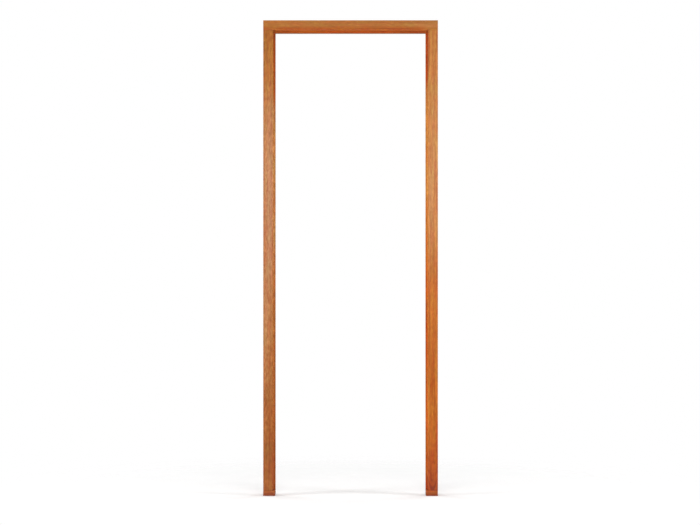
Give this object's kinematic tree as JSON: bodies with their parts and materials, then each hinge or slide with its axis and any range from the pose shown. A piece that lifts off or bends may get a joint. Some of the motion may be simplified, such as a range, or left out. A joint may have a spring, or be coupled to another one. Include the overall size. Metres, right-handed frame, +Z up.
{
  "type": "door frame",
  "caption": "Rebated hardwood door frame with no sill: a wedged head over plain jambs that stand on foot blocks, with a stop for the leaf.",
  "frame": {"origin": "on the floor, midway between the jambs and midway through the depth of the frame", "axes": "+X to the right as seen from the rebated side, +Y from the rebated side to the stop side, +Z up the jambs"},
  "size_m": [0.776, 0.07, 2.113],
  "materials": {
    "head_timber": "satin varnish over straight-grained red hardwood",
    "left_jamb_timber": "satin varnish over brown, flecked hardwood",
    "right_jamb_timber": "satin varnish over orange, striped hardwood",
    "foot_timber": "satin varnish over red hardwood",
    "wedge_timber": "trimmed level and varnished with the head",
    "nail_steel": "bright drawn wire, a little dulled"
  },
  "bodies": {
    "root": {"head": "head_timber", "left_jamb": "left_jamb_timber", "right_jamb": "right_jamb_timber", "left_foot_block": "foot_timber", "right_foot_block": "foot_timber", "left_outer_wedge": "wedge_timber", "left_inner_wedge": "wedge_timber", "right_inner_wedge": "wedge_timber", "right_outer_wedge": "wedge_timber", "foot_nails": "nail_steel"}
  },
  "joints": []
}
